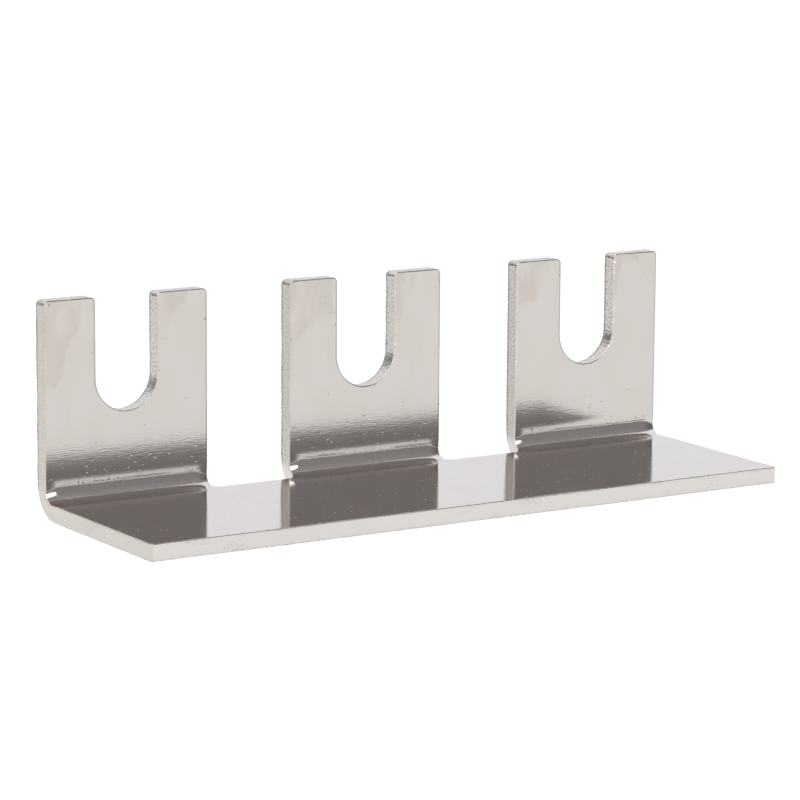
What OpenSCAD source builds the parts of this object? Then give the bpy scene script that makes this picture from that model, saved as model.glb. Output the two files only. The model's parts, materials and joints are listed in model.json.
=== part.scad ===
// Terminal block jumper bar: a comb of slotted tabs, blanked from one strip of sheet and folded square.
// X runs along the bar, the tabs stand at the +Y side, and Z = 0 is the underside of the strip.
// The inside of the fold, where the terminal screws bear, is the punch side of the sheet.

/* [Comb] */
// Number of tabs along the bar
tab_count = 3; // [2:1:10]
// Distance between the middles of two tabs, which is the pitch of the terminal block
tab_pitch = 20.6; // [16:0.1:30]
// Width of each tab
tab_w = 13.5; // [9:0.1:17]
// Height of the tabs above the underside of the strip
tab_h = 16; // [12:0.1:24]
// Depth of the bar, from the back of the tabs to the front edge of the strip
bar_d = 17.2; // [8:0.1:30]

/* [Sheet] */
// Thickness of the sheet
sheet_t = 1.25; // [0.6:0.05:2]
// Inside radius of the fold between the strip and the tabs
fold_r = 1.3; // [0.8:0.05:2.5]
// Width of the edge break that the punch leaves along the inside edges
edge_break = 0.12; // [0.05:0.01:0.15]

/* [Screw slots] */
// Width of the slot in each tab, which clears the terminal screw
slot_w = 5.1; // [3:0.1:7]
// Height of the middle of the slot's round end above the underside of the strip
slot_z = 10; // [7:0.1:14]

/* [Corners and roots] */
// Radius of the corners at the top of the prongs
prong_corner_r = 0.4; // [0.2:0.05:1]
// Radius of the front corners of the strip
strip_corner_r = 0.2; // [0.2:0.05:2]
// Radius in the roots of the notches between the tabs
root_r = 0.82; // [0.2:0.02:1]
// Degrees of the fold, counted from the strip, that the notches leave uncut
notch_floor_angle = 10; // [2:1:30]

/* [Hidden] */
$fn = 96;

plating_colour = [0.83, 0.81, 0.78];

// How far a cutter runs past the sheet that it cuts
cut_over = 0.5;

bar_l = (tab_count - 1) * tab_pitch + tab_w;
back_y = bar_d / 2;
prong_w = (tab_w - slot_w) / 2;
notch_w = tab_pitch - tab_w;

// The fold's axis runs along X, its outside radius in from the back and up from the underside
fold_angle = 90;
fold_out_r = fold_r + sheet_t;
fold_y = back_y - fold_out_r;
fold_z = fold_out_r;

// A root radius stays inside the fold and leaves a flat floor in its notch
root_fold_share = 0.8;
root_notch_share = 0.4;
notch_root_r = min(root_r, root_fold_share * fold_r, root_notch_share * notch_w);
root_top_angle = notch_floor_angle + asin(notch_root_r / fold_r);

// X of the middle of a tab, counted from 0 at the left
function tab_x(i) = (i - (tab_count - 1) / 2) * tab_pitch;

// Half section of a sheet edge at x = edge: square below, broken along its upper, inside corner
function edge_points(edge) = [
    [0, 0], [edge, 0], [edge, sheet_t - edge_break], [edge - edge_break, sheet_t], [0, sheet_t]];

// Section across a length of sheet of width w, inside face up
module sheet_section(w) {
    polygon(edge_points(w / 2));
    mirror([1, 0]) polygon(edge_points(w / 2));
}

// Flat sheet of width w from y = 0 to y = l, inside face up
module plate(w, l) {
    translate([0, l, 0]) rotate([90, 0, 0]) linear_extrude(l) sheet_section(w);
}

// Flat sheet as above, whose far end has rounded corners and a broken edge
module round_ended_plate(w, l, r) {
    plate(w, l - r);
    translate([0, l - r, 0]) {
        rotate([90, 0, 90]) linear_extrude(w - 2 * r, center = true) polygon(edge_points(r));
        for (side = [0, 1])
            mirror([side, 0, 0]) translate([w / 2 - r, 0, 0])
                rotate_extrude(angle = 90) polygon(edge_points(r));
    }
}

// Round end of a screw slot about the origin, with the edge break round its upper rim
module slot_end_cutter() {
    rim_r = slot_w / 2;
    translate([0, 0, -cut_over]) cylinder(sheet_t + 2 * cut_over, r = rim_r);
    translate([0, 0, sheet_t - edge_break])
        cylinder(edge_break + cut_over, r1 = rim_r, r2 = rim_r + edge_break + cut_over);
}

// Folded sheet of width w, from the strip up to an angle about the fold's axis
module fold_sector(w, angle) {
    translate([0, fold_y, fold_z]) rotate([0, 90, 0])
        rotate_extrude(angle = angle) translate([fold_out_r, 0]) rotate(90) sheet_section(w);
}

// Cutter for one notch: square to the sheet at its floor, with a radius in each root and a broken floor edge
module notch_cutter() {
    reach = fold_out_r + cut_over;
    floor_w = notch_w - 2 * notch_root_r;
    translate([0, fold_y, fold_z]) rotate([notch_floor_angle, 0, 0]) {
        linear_extrude(2 * reach, center = true) {
            translate([-floor_w / 2, 0]) square([floor_w, reach]);
            translate([-notch_w / 2, notch_root_r]) square([notch_w, reach - notch_root_r]);
            for (side = [-1, 1]) translate([side * floor_w / 2, notch_root_r]) circle(notch_root_r);
        }
        translate([0, 0, -fold_r]) rotate([90, 0, 90]) linear_extrude(floor_w, center = true)
            polygon([
                [-edge_break - cut_over, cut_over],
                [cut_over, -edge_break - cut_over],
                [cut_over, cut_over]]);
    }
}

// The strip, from the fold to its front edge
module strip() {
    translate([0, fold_y, 0]) rotate(180) round_ended_plate(bar_l, fold_y + back_y, strip_corner_r);
}

// The lower part of the fold, which runs the whole length and holds the roots of the notches
module fold_roots() {
    difference() {
        fold_sector(bar_l, root_top_angle);
        for (i = [0 : tab_count - 2])
            translate([tab_x(i) + tab_pitch / 2, 0, 0]) notch_cutter();
    }
}

// One tab: its part of the fold, its foot with the round end of the slot, and its two prongs
module tab() {
    fold_sector(tab_w, fold_angle);
    translate([0, back_y, 0]) rotate([90, 0, 0]) {
        difference() {
            translate([0, fold_z, 0]) plate(tab_w, slot_z - fold_z);
            translate([0, slot_z, 0]) slot_end_cutter();
        }
        for (side = [-1, 1])
            translate([side * (slot_w + prong_w) / 2, slot_z, 0])
                round_ended_plate(prong_w, tab_h - slot_z, prong_corner_r);
    }
}

module jumper_bar() {
    color(plating_colour) union() {
        strip();
        fold_roots();
        for (i = [0 : tab_count - 1]) translate([tab_x(i), 0, 0]) tab();
    }
}

jumper_bar();
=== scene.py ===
"""Looks of a terminal block jumper bar: a comb of slotted tabs folded from one strip of plated sheet.

The bar is made in the order of the workshop. A flat blank is sheared, with the rolled and broken-out
section of a real sheared edge. A node tree folds it along its length, and the plated faces and the
sheared edges get their finishes.

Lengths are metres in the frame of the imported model: X along the bar, tabs at +Y, underside of the strip
at Z = 0. On the flat blank, W runs from the front of the strip to the tops of the tabs, and height from
the outside face to the inside face, where the terminal screws bear. Finishes are sized in millimetres.
"""

import json
import logging
import math
from dataclasses import dataclass, field
from enum import Enum
from typing import Any, Union

import bpy
import numpy as np
from mathutils import Matrix, Vector, kdtree
from mathutils.geometry import delaunay_2d_cdt

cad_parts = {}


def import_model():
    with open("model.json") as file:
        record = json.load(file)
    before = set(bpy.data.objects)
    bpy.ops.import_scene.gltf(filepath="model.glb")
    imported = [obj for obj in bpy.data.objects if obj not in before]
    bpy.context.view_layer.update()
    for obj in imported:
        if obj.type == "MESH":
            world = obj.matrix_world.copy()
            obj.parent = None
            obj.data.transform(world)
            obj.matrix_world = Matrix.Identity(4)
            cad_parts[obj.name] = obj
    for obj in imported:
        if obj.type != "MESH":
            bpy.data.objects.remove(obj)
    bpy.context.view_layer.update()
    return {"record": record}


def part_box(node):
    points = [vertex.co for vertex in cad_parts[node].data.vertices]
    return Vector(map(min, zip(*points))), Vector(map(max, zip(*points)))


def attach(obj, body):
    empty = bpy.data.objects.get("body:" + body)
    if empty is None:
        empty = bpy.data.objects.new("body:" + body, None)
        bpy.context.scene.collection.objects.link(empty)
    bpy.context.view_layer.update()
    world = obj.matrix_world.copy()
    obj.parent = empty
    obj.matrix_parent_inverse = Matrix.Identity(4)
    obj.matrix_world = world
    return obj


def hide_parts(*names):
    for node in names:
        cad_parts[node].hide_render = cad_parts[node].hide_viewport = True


log = logging.getLogger("jumper_bar")

MM = 0.001
NODE = "jumper_bar"
BODY = "root"
FLAT_MAP = "flat_pattern"
QUARTER_TURN = math.pi / 2

# Share of a step, or of a millimetre, that counts as a rounding error
TINY = 1e-6

# Output type of a triangulation that keeps only the triangles inside the loop
INSIDE_ONLY = 1

# Middle of the values that a noise takes
NOISE_MEAN = 0.5

# Places of the sockets for colours on a Mix node
MIX_SHARE, MIX_BASE, MIX_OTHER, MIX_RESULT = 0, 6, 7, 2

Colour = tuple[float, float, float]
Span = tuple[float, float]
Number = Union["Signal", float]


class Band(Enum):
    """Bands of a sheared edge, from the inside face to the outside face."""

    FACE = "face"
    ROLL = "roll"
    BURNISH = "burnish"
    FRACTURE = "fracture"


class FoldPart(Enum):
    """Arcs of the fold, in their order from the strip to the tabs."""

    STRIP_EASING = "Strip easing"
    MIDDLE = "Middle"
    LAND = "Tool land"
    LAND_CORNER = "Land corner"


class Mark(Enum):
    """Attributes of the bar's mesh that its finishes read."""

    SHEARED = "sheared"
    ALONG = "edge_along"
    DEPTH = "edge_depth"
    EDGE = "edge_distance"
    FOLD = "fold_share"
    PIERCED = "pierced"
    SIDE = "faces_left"


@dataclass(frozen=True)
class Signal:
    """A value that runs through a node tree. Reckoning with it adds the nodes that give the result.

    Attributes:
        socket: output that carries the value
    """

    socket: bpy.types.NodeSocket

    @property
    def wiring(self) -> "Wiring":
        """Wiring of the tree that it runs through."""
        return Wiring(self.socket.id_data)

    def math(self, operation: str, *others: Number) -> "Signal":
        """Result of a Math node that takes this value first, and then the others."""
        return self.wiring.add("ShaderNodeMath", dict(enumerate((self, *others))), operation=operation)[0]

    def __add__(self, other: Number) -> "Signal":
        """Sum of both values."""
        return self.math("ADD", other)

    def __sub__(self, other: Number) -> "Signal":
        """This value less the other."""
        return self.math("SUBTRACT", other)

    def __rsub__(self, other: float) -> "Signal":
        """A plain number less this value."""
        return self.wiring.add("ShaderNodeMath", {0: other, 1: self}, operation="SUBTRACT")[0]

    def __mul__(self, other: Number) -> "Signal":
        """Product of both values."""
        return self.math("MULTIPLY", other)

    def __truediv__(self, other: Number) -> "Signal":
        """This value as a share of the other."""
        return self.math("DIVIDE", other)

    def __abs__(self) -> "Signal":
        """The value without its sign."""
        return self.math("ABSOLUTE")

    def most(self, other: Number) -> "Signal":
        """The larger of both values."""
        return self.math("MAXIMUM", other)

    def least(self, other: Number) -> "Signal":
        """The smaller of both values."""
        return self.math("MINIMUM", other)

    def ease(self, low: Number, high: Number, start: Number = 0.0, end: Number = 1.0) -> "Signal":
        """Smooth step of the value between two limits.

        Args:
            low: value at which the step starts
            high: value at which the step ends
            start: result at low
            end: result at high

        Returns:
            The result.
        """
        limits = {"Value": self, "From Min": low, "From Max": high, "To Min": start, "To Max": end}
        return self.wiring.add("ShaderNodeMapRange", limits, interpolation_type="SMOOTHSTEP")[0]

    def split(self) -> "Outputs":
        """The separate coordinates of a place."""
        return self.wiring.add("ShaderNodeSeparateXYZ", {0: self})


@dataclass(frozen=True)
class Outputs:
    """Outputs of a node.

    Attributes:
        node: the node
    """

    node: bpy.types.Node

    def __getitem__(self, key: int | str) -> Signal:
        """One output, by its place or name."""
        return Signal(self.node.outputs[key])


@dataclass(frozen=True)
class Wiring:
    """Adds nodes to a tree and joins them.

    Attributes:
        tree: node tree that is being built
    """

    tree: bpy.types.NodeTree

    @classmethod
    def fresh(cls, owner: bpy.types.Material | bpy.types.World) -> "Wiring":
        """Empties the tree of a material or a world.

        Args:
            owner: the material or world

        Returns:
            Wiring of the empty tree.
        """
        owner.use_nodes = True
        owner.node_tree.nodes.clear()
        return cls(owner.node_tree)

    def add(self, kind: str, inputs: dict[int | str, Any] | None = None, **settings: Any) -> Outputs:
        """Adds one node.

        Args:
            kind: Blender's name of the node type
            inputs: signals or plain values for the node's inputs, by place or name
            settings: the node's own properties

        Returns:
            The new node's outputs.
        """
        node = self.tree.nodes.new(kind)
        for name, value in settings.items():
            setattr(node, name, value)
        for key, value in (inputs or {}).items():
            socket = node.inputs[key]
            if isinstance(value, Signal):
                self.tree.links.new(value.socket, socket)
            elif socket.type == "RGBA":
                socket.default_value = (*value, 1.0)
            else:
                socket.default_value = value
        return Outputs(node)

    def mark(self, mark: Mark) -> Signal:
        """Value of one of the mesh's own attributes."""
        return self.add("ShaderNodeAttribute", attribute_name=mark.value)["Fac"]

    def place(self, x: Signal, y: Signal) -> Signal:
        """Place on a surface with the given coordinates."""
        return self.add("ShaderNodeCombineXYZ", {"X": x, "Y": y})[0]

    def tint(self, share: Signal, base: Signal | Colour, other: Signal | Colour) -> Signal:
        """Mixes two colours.

        Args:
            share: share of the other colour
            base: colour at no share
            other: colour at full share

        Returns:
            The mixed colour.
        """
        colours = {MIX_SHARE: share, MIX_BASE: base, MIX_OTHER: other}
        return self.add("ShaderNodeMix", colours, data_type="RGBA")[MIX_RESULT]

    def plate(self, colour: Signal, roughness: Signal, height: Signal, **brushed: Any) -> None:
        """Ends the tree of a material in plated metal.

        Args:
            colour: colour of the plating
            roughness: roughness of the plating
            height: relief of the surface, in millimetres
            brushed: further inputs of the shader, by name
        """
        normal = self.add("ShaderNodeBump", {"Strength": 1.0, "Distance": MM, "Height": height})[0]
        look = {"Base Color": colour, "Metallic": 1.0, "Roughness": roughness, "Normal": normal}
        shader = self.add("ShaderNodeBsdfPrincipled", look | brushed)[0]
        self.add("ShaderNodeOutputMaterial", {"Surface": shader})


@dataclass(frozen=True)
class Pattern:
    """Noise that is laid over a surface.

    Attributes:
        size: size of its features in both directions, in millimetres
        detail: number of finer layers
        shift: shift of the noise, which tells patterns of one size apart
        limits: values of the noise between which the pattern comes up
    """

    size: Span
    detail: float = 0.0
    shift: Span = (0.0, 0.0)
    limits: Span = (0.0, 1.0)

    def noise(self, place: Signal) -> Signal:
        """Lays the plain noise.

        Args:
            place: place on the surface, in millimetres

        Returns:
            Values from about 0 to 1.
        """
        scale = (1 / self.size[0], 1 / self.size[1], 1.0)
        laid = {"Vector": place, "Scale": scale, "Location": (*self.shift, 0.0)}
        spread = place.wiring.add("ShaderNodeMapping", laid)[0]
        layers = {"Vector": spread, "Scale": 1.0, "Detail": self.detail}
        return place.wiring.add("ShaderNodeTexNoise", layers)[0]

    def on(self, place: Signal, least: float = 0.0, most: float = 1.0) -> Signal:
        """The pattern's strength at a place, from least to most."""
        return self.noise(place).ease(*self.limits, least, most)


@dataclass(frozen=True)
class Spots:
    """Small round spots of different sizes, scattered over a surface.

    Attributes:
        gap: mean distance of the places for a spot, in millimetres
        radius: radius of the largest spot, in millimetres
        span: distance over which the spots get rare, in millimetres
        scarce: share of the places without a spot, at both ends of that span
        steep: depth of a spot, as a share of its radius
        none_r: radius that stands for no spot, in millimetres
    """

    gap: float
    radius: float
    span: Span
    scarce: Span
    steep: float = 0.0
    none_r: float = 0.001

    def on(self, place: Signal, distance: Signal) -> tuple[Signal, Signal]:
        """Scatters the spots.

        Args:
            place: place on the surface, in millimetres
            distance: distance that makes them rare, in millimetres

        Returns:
            1 in the middle of a spot and 0 outside it, and the spot's radius in millimetres.
        """
        cells = {"Vector": place, "Scale": 1 / self.gap}
        found = place.wiring.add("ShaderNodeTexVoronoi", cells, voronoi_dimensions="2D")
        chance = place.wiring.add("ShaderNodeSeparateColor", {0: found["Color"]})["Blue"]
        scarce = distance.ease(*self.span, *self.scarce)
        radius = chance.ease(scarce, 1.0, self.none_r, self.radius)
        return (found["Distance"] * self.gap / radius).ease(0.0, 1.0, 1.0, 0.0), radius


def put_in_scene(data: bpy.types.ID) -> bpy.types.Object:
    """Puts a mesh, lamp or camera into the scene.

    Args:
        data: the mesh, lamp or camera

    Returns:
        An object of the same name.
    """
    item = bpy.data.objects.new(data.name, data)
    bpy.context.scene.collection.objects.link(item)
    return item


@dataclass(frozen=True)
class Comb:
    """Main sizes of the bar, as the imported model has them.

    Attributes:
        length: length of the bar
        depth: from the front edge of the strip to the outside faces of the tabs
        height: from the underside of the strip to the tops of the tabs
        middles: X of the middle of each tab
        slot_r: half of the width of a screw slot
        slot_z: height of the middle of a slot's round end
    """

    length: float
    depth: float
    height: float
    middles: tuple[float, ...]
    slot_r: float
    slot_z: float

    @classmethod
    def from_frame(cls, record: dict[str, Any]) -> "Comb":
        """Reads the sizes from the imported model.

        Args:
            record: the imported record

        Returns:
            The bar's main sizes.
        """
        low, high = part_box(NODE)
        slots = [mount for mount in record["mounts"] if mount["kind"] == "clamp"]
        return cls(
            length=high.x - low.x,
            depth=high.y - low.y,
            height=high.z - low.z,
            middles=tuple(sorted(slot["pos_m"][0] for slot in slots)),
            slot_r=slots[0]["dims"]["r_mm"] * MM,
            slot_z=slots[0]["pos_m"][2],
        )

    @property
    def tab_w(self) -> float:
        """Width of a tab, of which the outer ones are flush with the ends of the strip."""
        return self.length - (self.middles[-1] - self.middles[0])


@dataclass(frozen=True)
class Arc:
    """One arc of the fold.

    Attributes:
        radius: inside radius
        turn: angle through which it turns the sheet
    """

    radius: float
    turn: float


@dataclass(frozen=True)
class Fold:
    """The fold: easing out of the strip, tight in the middle, with the tool's narrow land under the tabs.

    Attributes:
        comb: main sizes of the bar
        thickness: thickness of the sheet
        neutral_share: place of the neutral line, as a share of the thickness from the inside face
        strip_easing: arc next to the strip
        middle_r: inside radius of the tight arc
        land: nearly flat arc that the folding tool pressed
        land_corner: arc between that land and the tabs
        spring: angle by which the tabs spring back from square
        notch_turn: angle of the sheet at the floors of the notches
        curl: how far the ends of the fold sink below its inside face
        curl_reach: distance from the edge over which that dies away
        worked_reach: length over which the grain of the fold fades into the flats
        tool_rise: distance of the folding tool's line from the lower side of the land
    """

    comb: Comb
    thickness: float = 1.25 * MM
    neutral_share: float = 0.42
    strip_easing: Arc = Arc(4.0 * MM, math.radians(10.0))
    middle_r: float = 1.11 * MM
    land: Arc = Arc(10.5 * MM, math.radians(2.3))
    land_corner: Arc = Arc(4.5 * MM, math.radians(4.0))
    spring: float = math.radians(0.5)
    notch_turn: float = math.radians(8.3)
    curl: float = 0.24 * MM
    curl_reach: float = 1.2 * MM
    worked_reach: float = 0.35 * MM
    tool_rise: float = 0.2 * MM

    @property
    def arcs(self) -> dict[FoldPart, Arc]:
        """The arcs, which turn the sheet almost square together.

        Returns:
            Each part's arc, in their order from the strip.
        """
        eased = self.strip_easing.turn + self.land.turn + self.land_corner.turn + self.spring
        return {
            FoldPart.STRIP_EASING: self.strip_easing,
            FoldPart.MIDDLE: Arc(self.middle_r, QUARTER_TURN - eased),
            FoldPart.LAND: self.land,
            FoldPart.LAND_CORNER: self.land_corner,
        }

    def neutral_r(self, arc: Arc) -> float:
        """Radius of the line that keeps its length in an arc."""
        return arc.radius + self.neutral_share * self.thickness

    @property
    def inside_run(self) -> Span:
        """Run of the inside face through the fold.

        Returns:
            How far it goes back, and how far up.
        """
        back, up, heading = 0.0, 0.0, 0.0
        for arc in self.arcs.values():
            turned = heading + arc.turn
            back += arc.radius * (math.sin(turned) - math.sin(heading))
            up += arc.radius * (math.cos(heading) - math.cos(turned))
            heading = turned
        return back, up

    @property
    def end_z(self) -> float:
        """Height of the inside face at the end of the fold."""
        return self.thickness + self.inside_run[1]

    @property
    def start_w(self) -> float:
        """Where the fold starts, so that the tops of the tabs come to the back of the bar."""
        reach = self.inside_run[0] + (self.comb.height - self.end_z) * math.tan(self.spring)
        return self.comb.depth / 2 - self.thickness * math.cos(self.spring) - reach

    @property
    def starts(self) -> dict[FoldPart, float]:
        """Where each arc starts on the flat blank.

        Returns:
            Each part's place.
        """
        places, start = {}, self.start_w
        for part, arc in self.arcs.items():
            places[part] = start
            start += self.neutral_r(arc) * arc.turn
        return places

    @property
    def end_w(self) -> float:
        """Where the fold ends on the flat blank."""
        return self.starts[FoldPart.LAND_CORNER] + self.neutral_r(self.land_corner) * self.land_corner.turn

    def tab_w_at(self, z: float) -> float:
        """Place on the flat blank that comes to a height on the tabs."""
        return self.end_w + (z - self.end_z) / math.cos(self.spring)

    @property
    def notch_w(self) -> float:
        """Place of the floors of the notches on the flat blank."""
        return self.start_w + self.neutral_r(self.strip_easing) * self.notch_turn

    @property
    def tool_w(self) -> float:
        """Place of the folding tool's line on the flat blank."""
        return self.starts[FoldPart.LAND] + self.tool_rise

    def worked(self, w: np.ndarray) -> np.ndarray:
        """Tells the fold, by 1, from the flats, by 0, at places on the flat blank."""
        into = np.minimum(w - self.start_w, self.end_w - w) / self.worked_reach + 1
        return np.clip(into, 0.0, 1.0)

    def sink(self, distance: np.ndarray, w: np.ndarray) -> np.ndarray:
        """Depth to which the curled ends of the fold sink, most at its middle and at the very edge.

        Args:
            distance: distances from the nearest edge
            w: places on the flat blank

        Returns:
            Depths below the inside face.
        """
        along = np.clip((w - self.start_w) / (self.end_w - self.start_w), 0.0, 1.0)
        near = np.clip(1 - distance / self.curl_reach, 0.0, 1.0)
        return self.curl * near**2 * np.sin(math.pi * along) ** 2


@dataclass(frozen=True)
class Corner:
    """One corner of the blank's outline.

    Attributes:
        x: place along the bar
        w: place across the blank
        radius_x: radius of the corner along the bar
        radius_w: radius of the corner across the blank
    """

    x: float
    w: float
    radius_x: float
    radius_w: float

    @property
    def place(self) -> np.ndarray:
        """The sharp corner's place."""
        return np.array((self.x, self.w))

    @property
    def radii(self) -> np.ndarray:
        """Both radii."""
        return np.array((self.radius_x, self.radius_w))


@dataclass(frozen=True)
class Outline:
    """Sampled outline of the blank, anticlockwise from the inside face.

    Attributes:
        points: places on the outline
        inward: unit vectors into the sheet
        along: running length
    """

    points: np.ndarray
    inward: np.ndarray
    along: np.ndarray

    def inset(self, distance: np.ndarray) -> np.ndarray:
        """The outline moved into the sheet by a distance at each point."""
        return self.points + self.inward * distance[:, None]

    def wander(self, length: float, rng: np.random.Generator) -> np.ndarray:
        """Smooth random run round the outline.

        Args:
            length: distance between its turns
            rng: seeded source

        Returns:
            One value from -1 to 1 for each point.
        """
        knots = math.ceil(self.along[-1] / length)
        values = rng.uniform(-1.0, 1.0, knots)
        place = self.along / self.along[-1] * (knots - 1)
        left = np.floor(place).astype(int)
        share = place - left
        share = share * share * (3 - 2 * share)
        return values[left % knots] * (1 - share) + values[(left + 1) % knots] * share


@dataclass(frozen=True)
class Row:
    """One row of points round the sheared edge.

    Attributes:
        inset: distance in from the outline at each point
        height: height above the outside face at each point
        band: band that reaches from this row to the next
    """

    inset: np.ndarray
    height: np.ndarray
    band: Band


@dataclass(frozen=True)
class ShearSection:
    """Section of the sheared edge, from the rolled inside corner to the broken-out outside corner.

    Attributes:
        roll_w: width of the rolled corner
        roll_d: depth of the rolled corner
        roll_steps: steps round the rolled corner
        land: width of the flat land beside the edge on each face
        burnish_share: how deep the burnished band reaches, as a share of the thickness
        burnish_swing: how far that depth wanders, as a share of the thickness
        burnish_steps: steps down the burnished band
        breakout: how far the fracture leans in at the outside face
        fracture_steps: steps over the fracture
        swing: share by which the roll and the breakout wander
        slow: length over which the section wanders
        fine: length over which the fracture is ragged
        seed: seed of the wandering
    """

    roll_w: float = 0.075 * MM
    roll_d: float = 0.06 * MM
    roll_steps: int = 5
    land: float = 0.05 * MM
    burnish_share: float = 0.88
    burnish_swing: float = 0.06
    burnish_steps: int = 4
    breakout: float = 0.035 * MM
    fracture_steps: int = 3
    swing: float = 0.4
    slow: float = 1.5 * MM
    fine: float = 0.3 * MM
    seed: int = 7

    def rows(self, outline: Outline, thickness: float) -> list[Row]:
        """Works out the section at every point of an outline.

        Args:
            outline: outline of the blank
            thickness: thickness of the sheet

        Returns:
            Rows from the inside face to the outside face.
        """
        rng = np.random.default_rng(self.seed)
        even = np.ones(len(outline.points))
        roll = self.roll_w * (1 + self.swing * outline.wander(self.slow, rng))
        burnish = thickness * (self.burnish_share + self.burnish_swing * outline.wander(self.slow, rng))
        lean = self.breakout * (1 + self.swing * outline.wander(self.slow, rng))
        rows = [Row(roll + self.land, thickness * even, Band.FACE)]
        for step in range(self.roll_steps):
            angle = QUARTER_TURN * step / self.roll_steps
            depth = self.roll_d * (1 - math.cos(angle))
            rows.append(Row(roll * (1 - math.sin(angle)), (thickness - depth) * even, Band.ROLL))
        for step in range(self.burnish_steps):
            depth = self.roll_d + (burnish - self.roll_d) * step / self.burnish_steps
            rows.append(Row(0.0 * even, thickness - depth, Band.BURNISH))
        for step in range(self.fracture_steps + 1):
            share = step / self.fracture_steps
            ragged = 1 + self.swing * outline.wander(self.fine, rng)
            depth = burnish + (thickness - burnish) * share
            band = Band.FRACTURE if step < self.fracture_steps else Band.FACE
            rows.append(Row(lean * share * ragged, thickness - depth, band))
        rows.append(Row(rows[-1].inset + self.land, 0.0 * even, Band.FACE))
        return rows


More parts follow.
